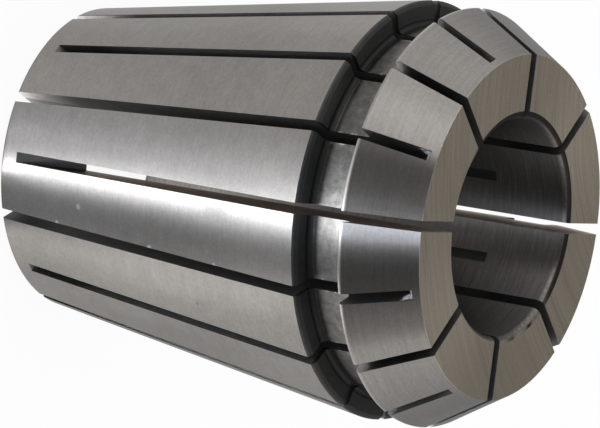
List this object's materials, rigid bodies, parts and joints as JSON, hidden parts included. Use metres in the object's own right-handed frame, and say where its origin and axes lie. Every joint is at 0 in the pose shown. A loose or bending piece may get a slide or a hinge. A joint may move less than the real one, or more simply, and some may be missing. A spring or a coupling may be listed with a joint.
{
  "type": "er collet",
  "caption": "Slotted spring collet with a tapered body, an extraction groove, a conical front flange and a straight bore that clamps a round tool shank.",
  "frame": {"origin": "centre of the narrow rear end, in the plane of its end face", "axes": "+Z along the bore from the rear end to the front face, +X through the middle of one of the slots that are open at the front face"},
  "size_m": [0.033, 0.033, 0.04],
  "materials": {
    "steel": "fine ground and turned, satin"
  },
  "bodies": {
    "root": {"collet": "steel"}
  },
  "joints": []
}
